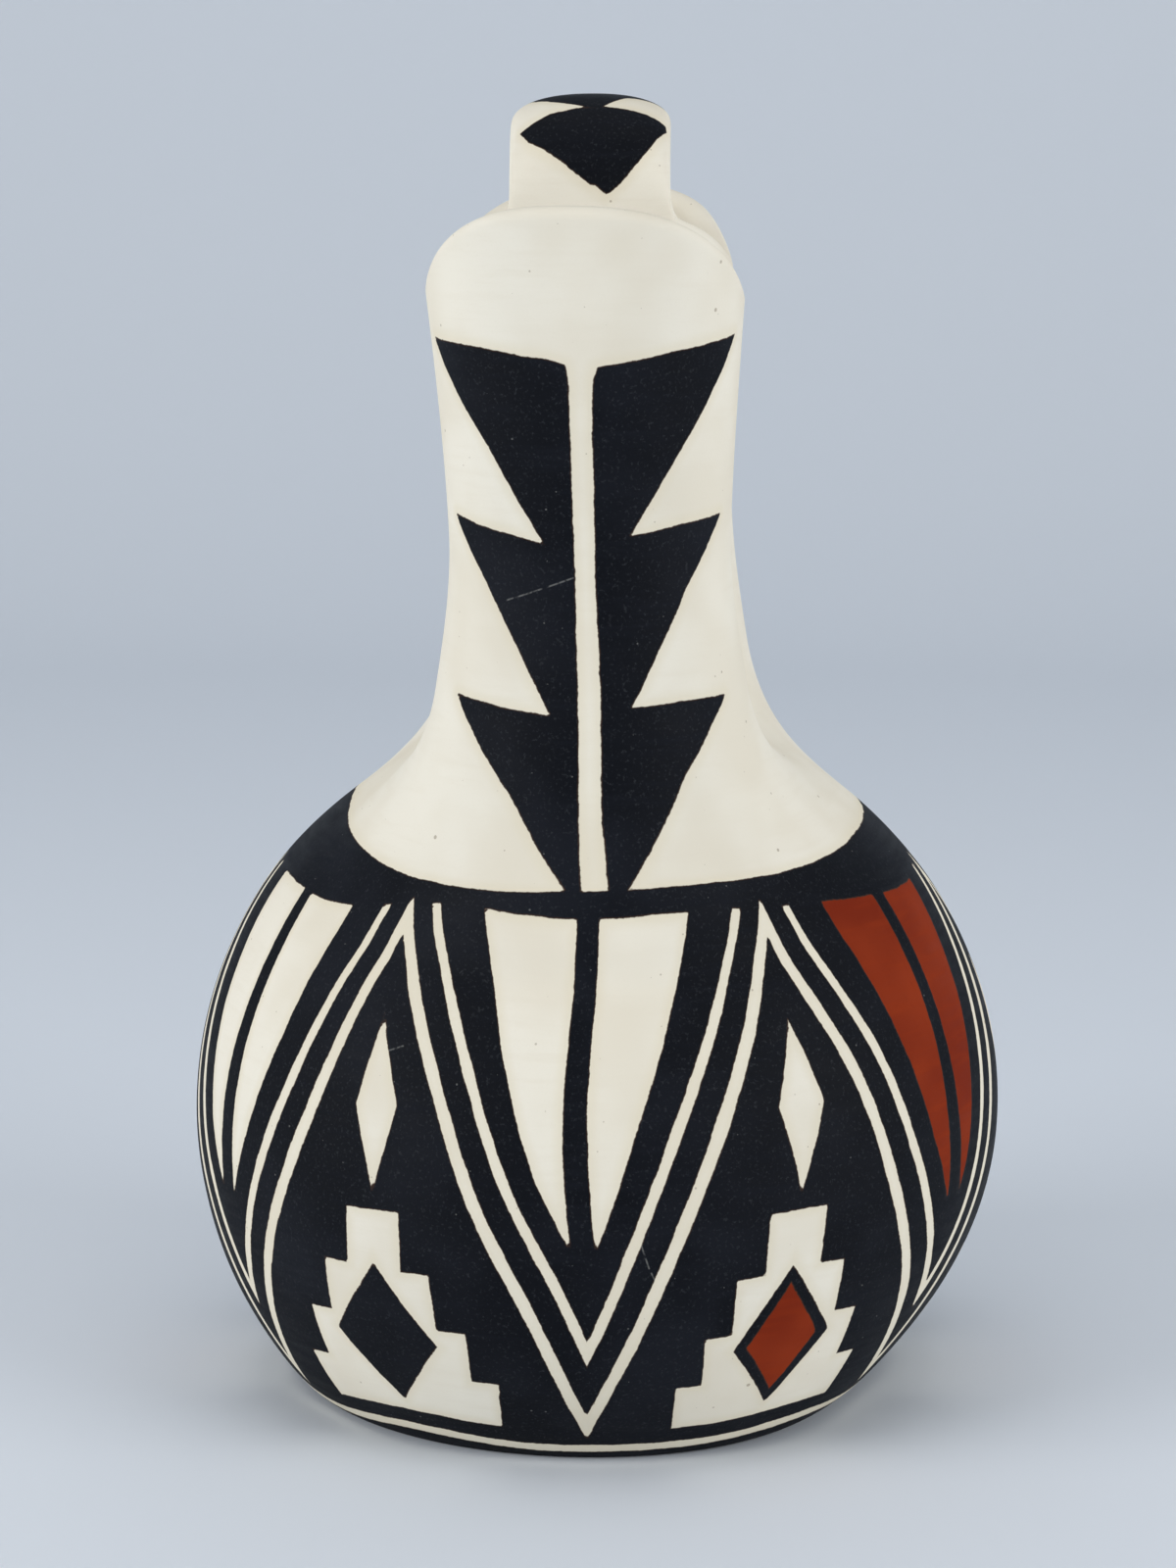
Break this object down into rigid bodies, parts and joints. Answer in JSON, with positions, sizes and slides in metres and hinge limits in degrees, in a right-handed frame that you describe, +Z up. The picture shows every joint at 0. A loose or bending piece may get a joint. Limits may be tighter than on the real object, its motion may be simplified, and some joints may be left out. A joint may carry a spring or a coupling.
{
  "type": "wedding vase",
  "caption": "Ball-shaped pottery vase with two flaring spouts side by side, joined near their lips by an arched strap handle.",
  "frame": {"origin": "middle of the flat foot, on the surface that the vase stands on", "axes": "+Z up along the ball's axis; the two spouts stand in a row along Y, the front one towards -Y"},
  "size_m": [0.154, 0.154, 0.2434],
  "materials": {
    "painted_slip": "matte blue-black and white mineral paint on fired clay, lightly stone-polished",
    "white_slip": "matte cream-white slip on fired clay"
  },
  "bodies": {
    "root": {"base": "painted_slip", "belly_wall": "painted_slip", "shoulder": "white_slip", "spout_front": "white_slip", "spout_rear": "white_slip", "strap_handle": "white_slip"}
  },
  "joints": []
}
